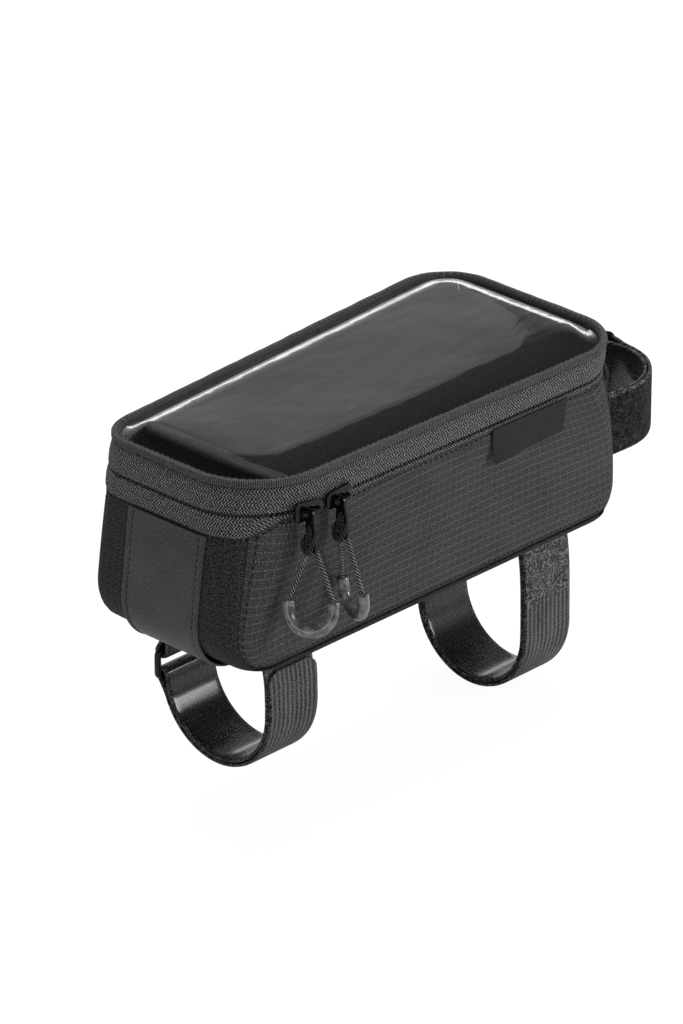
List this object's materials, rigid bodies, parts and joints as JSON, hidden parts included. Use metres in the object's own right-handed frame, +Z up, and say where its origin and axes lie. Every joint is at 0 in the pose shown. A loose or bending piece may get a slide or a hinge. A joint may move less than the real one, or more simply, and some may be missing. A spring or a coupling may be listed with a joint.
{
  "type": "top_tube_phone_bag",
  "caption": "Zipped fabric bag for a bicycle's top tube, with a clear window pocket in its lid, hook-and-loop straps under it and at its front, and cord pulls.",
  "frame": {"origin": "middle of the base strip's flat underside, between the two straps", "axes": "+X to the front of the bicycle, +Y to the far long side, +Z up"},
  "size_m": [0.2583, 0.1121, 0.1544],
  "materials": {
    "side_panel_near_ripstop_cloth": "woven ripstop cloth, dull",
    "side_panel_far_ripstop_cloth": "woven ripstop cloth, dull",
    "gusset_twill_cloth": "twill weave, dull",
    "padded_lining_lining_cloth": "brushed knit over thin foam",
    "floor_board_floor_board": "plain sheet, satin",
    "base_strip_coated_base": "smooth coated cloth, satin",
    "lower_zip_tape_zip_tape": "ribbed herringbone tape",
    "lower_zip_coil_zip_coil": "moulded coil teeth",
    "upper_zip_tape_zip_tape": "ribbed herringbone tape",
    "upper_zip_coil_zip_coil": "moulded coil teeth",
    "zip_end_tab_near_twill_cloth": "twill weave, dull",
    "zip_end_tab_far_twill_cloth": "twill weave, dull",
    "side_label_label_cloth": "fine woven, bare",
    "hinge_tape_binding_cloth": "ribbed binding tape",
    "rear_strap_strap_cloth": "woven inside, hook and loop outside",
    "front_strap_strap_cloth": "woven inside, hook and loop outside",
    "head_tube_strap_strap_cloth": "woven inside, hook and loop outside",
    "rear_strap_ring_ring_metal": "gloss black coating",
    "front_strap_ring_ring_metal": "gloss black coating",
    "head_tube_strap_ring_ring_metal": "gloss black coating",
    "lid_front_wall_twill_cloth": "twill weave, dull",
    "window_binding_binding_cloth": "ribbed binding tape",
    "window_film_clear_film": "clear, glossy",
    "pocket_panel_pocket_cloth": "smooth woven cloth",
    "pocket_mouth_binding_binding_cloth": "ribbed binding tape",
    "zip_slider_left_slider_metal": "gloss black coating",
    "zip_slider_right_slider_metal": "gloss black coating",
    "pull_tab_left_slider_metal": "gloss black coating",
    "pull_tab_right_slider_metal": "gloss black coating",
    "pull_cord_left_pull_cord": "braided, speckled grey",
    "pull_cord_right_pull_cord": "braided, speckled grey",
    "pull_tube_left_pull_tube": "translucent grey, soft gloss",
    "pull_tube_right_pull_tube": "translucent grey, soft gloss"
  },
  "bodies": {
    "bag": {"side_panel_near": "side_panel_near_ripstop_cloth", "side_panel_far": "side_panel_far_ripstop_cloth", "gusset": "gusset_twill_cloth", "padded_lining": "padded_lining_lining_cloth", "floor_board": "floor_board_floor_board", "base_strip": "base_strip_coated_base", "lower_zip_tape": "lower_zip_tape_zip_tape", "lower_zip_coil": "lower_zip_coil_zip_coil", "zip_end_tab_near": "zip_end_tab_near_twill_cloth", "zip_end_tab_far": "zip_end_tab_far_twill_cloth", "side_label": "side_label_label_cloth", "hinge_tape": "hinge_tape_binding_cloth", "rear_strap": "rear_strap_strap_cloth", "front_strap": "front_strap_strap_cloth", "head_tube_strap": "head_tube_strap_strap_cloth", "rear_strap_ring": "rear_strap_ring_ring_metal", "front_strap_ring": "front_strap_ring_ring_metal", "head_tube_strap_ring": "head_tube_strap_ring_ring_metal"},
    "lid": {"upper_zip_tape": "upper_zip_tape_zip_tape", "upper_zip_coil": "upper_zip_coil_zip_coil", "lid_front_wall": "lid_front_wall_twill_cloth", "window_binding": "window_binding_binding_cloth", "window_film": "window_film_clear_film", "pocket_panel": "pocket_panel_pocket_cloth", "pocket_mouth_binding": "pocket_mouth_binding_binding_cloth"},
    "slider_right": {"zip_slider_right": "zip_slider_right_slider_metal"},
    "tab_right": {"pull_tab_right": "pull_tab_right_slider_metal"},
    "loop_right": {"pull_cord_right": "pull_cord_right_pull_cord", "pull_tube_right": "pull_tube_right_pull_tube"},
    "slider_left": {"zip_slider_left": "zip_slider_left_slider_metal"},
    "tab_left": {"pull_tab_left": "pull_tab_left_slider_metal"},
    "loop_left": {"pull_cord_left": "pull_cord_left_pull_cord", "pull_tube_left": "pull_tube_left_pull_tube"}
  },
  "joints": [
    {"name": "lid_hinge", "type": "hinge", "parent": "bag", "child": "lid", "pos_m": [0.1018, 0, 0.06863], "axis": [0, 1, 0], "range_deg": [0, 100]},
    {"name": "zip_slide_right", "type": "slide", "parent": "bag", "child": "slider_right", "axis": [0.9993, -0.0356, 0.015], "range_m": [0, 0.122]},
    {"name": "zip_corner_left", "type": "hinge", "parent": "bag", "child": "slider_left", "pos_m": [-0.063, -0.01012, 0.06616], "axis": [0.015, 0, -0.9999], "range_deg": [0, 7]},
    {"name": "tab_swing_right", "type": "hinge", "parent": "slider_right", "child": "tab_right", "pos_m": [-0.05467, -0.04714, 0.06628], "axis": [-0.9994, 0.0356, 0], "range_deg": [0, 150]},
    {"name": "tab_swing_left", "type": "hinge", "parent": "slider_left", "child": "tab_left", "pos_m": [-0.06987, -0.0462, 0.06606], "axis": [-0.9892, 0.1468, 0], "range_deg": [0, 150]},
    {"name": "loop_swing_right", "type": "hinge", "parent": "tab_right", "child": "loop_right", "pos_m": [-0.0547, -0.04813, 0.05212], "axis": [-0.0355, -0.9969, 0.0698], "range_deg": [-12, 25]},
    {"name": "loop_swing_left", "type": "hinge", "parent": "tab_left", "child": "loop_left", "pos_m": [-0.07005, -0.04743, 0.05192], "axis": [-0.1462, -0.9854, 0.0872], "range_deg": [-25, 12]}
  ]
}
